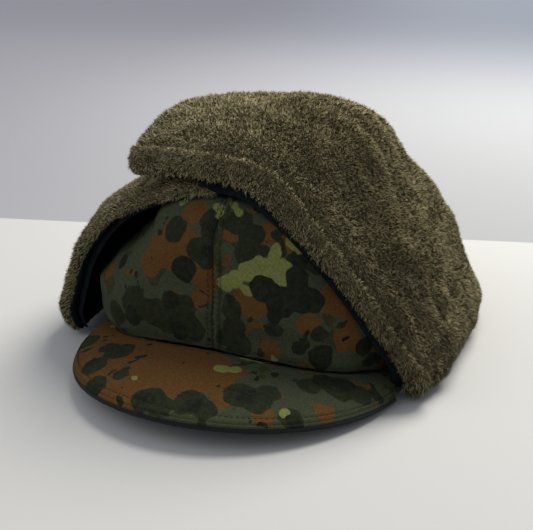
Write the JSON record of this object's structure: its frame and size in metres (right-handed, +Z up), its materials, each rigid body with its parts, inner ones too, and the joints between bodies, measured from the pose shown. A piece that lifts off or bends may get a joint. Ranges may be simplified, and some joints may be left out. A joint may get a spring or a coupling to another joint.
{
  "type": "trapper hat",
  "caption": "Padded camouflage cap with a stiff curved visor and fur-lined ear and neck flaps folded up over the crown.",
  "frame": {"origin": "centre of the head opening, on the surface the hat rests on", "axes": "+Z up out of the crown, -Y towards the visor, +X towards the wearer's left ear"},
  "size_m": [0.2511, 0.3008, 0.1509],
  "materials": {
    "camouflage_cloth": "printed cotton twill",
    "fur_pile": "dense synthetic pile",
    "dark_backing": "dark woven lining cloth",
    "interlining": "felted padding",
    "crown_lining": "quilted dark lining",
    "sweatband": "cotton tape",
    "edge_binding": "woven binding tape",
    "stiffener": "sheet plastic",
    "label": "woven label with nothing on it",
    "hook_tape": "hook tape",
    "loop_tape": "loop tape"
  },
  "bodies": {
    "crown": {"crown_panel_front_left": "camouflage_cloth", "crown_panel_front_right": "camouflage_cloth", "crown_panel_back_left": "camouflage_cloth", "crown_panel_back_right": "camouflage_cloth", "crown_top_panel": "camouflage_cloth", "crown_front_seam_strip": "camouflage_cloth", "crown_wadding": "interlining", "crown_lining": "crown_lining", "sweatband": "sweatband", "rim_binding": "edge_binding", "size_label": "label", "left_fold_web": "edge_binding", "right_fold_web": "edge_binding", "neck_fold_web": "edge_binding"},
    "visor": {"visor_top_cover": "camouflage_cloth", "visor_stiffener": "stiffener", "visor_under_cover": "edge_binding", "visor_edge_binding": "edge_binding"},
    "left_ear_flap": {"left_flap_fur": "fur_pile", "left_flap_interlining": "interlining", "left_flap_backing": "dark_backing"},
    "left_tip": {"left_tip_fur": "fur_pile", "left_tip_interlining": "interlining", "left_tip_backing": "dark_backing", "closure_hook_patch": "hook_tape"},
    "right_ear_flap": {"right_flap_fur": "fur_pile", "right_flap_interlining": "interlining", "right_flap_backing": "dark_backing"},
    "right_tip": {"right_tip_fur": "fur_pile", "right_tip_interlining": "interlining", "right_tip_backing": "dark_backing", "closure_loop_patch": "loop_tape"},
    "neck_flap": {"neck_flap_fur": "fur_pile", "neck_flap_interlining": "interlining", "neck_flap_backing": "dark_backing"}
  },
  "joints": [
    {"name": "left_flap_fold", "type": "hinge", "parent": "crown", "child": "left_ear_flap", "pos_m": [0.101, 0, 0.003], "axis": [0, 1, 0], "range_deg": [0, 150]},
    {"name": "right_flap_fold", "type": "hinge", "parent": "crown", "child": "right_ear_flap", "pos_m": [-0.101, 0, 0.003], "axis": [0, -1, 0], "range_deg": [0, 150]},
    {"name": "neck_flap_fold", "type": "hinge", "parent": "crown", "child": "neck_flap", "pos_m": [0, 0.1169, 0.003], "axis": [-1, 0, 0], "range_deg": [0, 150]},
    {"name": "left_tip_lift", "type": "hinge", "parent": "left_ear_flap", "child": "left_tip", "pos_m": [0.0915, 0, 0.0984], "axis": [0, 1, 0], "range_deg": [0, 100]},
    {"name": "right_tip_lift", "type": "hinge", "parent": "right_ear_flap", "child": "right_tip", "pos_m": [-0.0915, 0, 0.0984], "axis": [0, -1, 0], "range_deg": [0, 100]},
    {"name": "visor_flex", "type": "hinge", "parent": "crown", "child": "visor", "pos_m": [0, -0.08, 0.024], "axis": [-1, 0, 0], "range_deg": [0, 12], "stiffness_Nm_per_rad": 0.6}
  ],
  "couplings": [
    {"joint": "right_flap_fold", "follows": "left_flap_fold", "ratio": 1},
    {"joint": "neck_flap_fold", "follows": "left_flap_fold", "ratio": 1},
    {"joint": "right_tip_lift", "follows": "left_tip_lift", "ratio": 0.85}
  ]
}
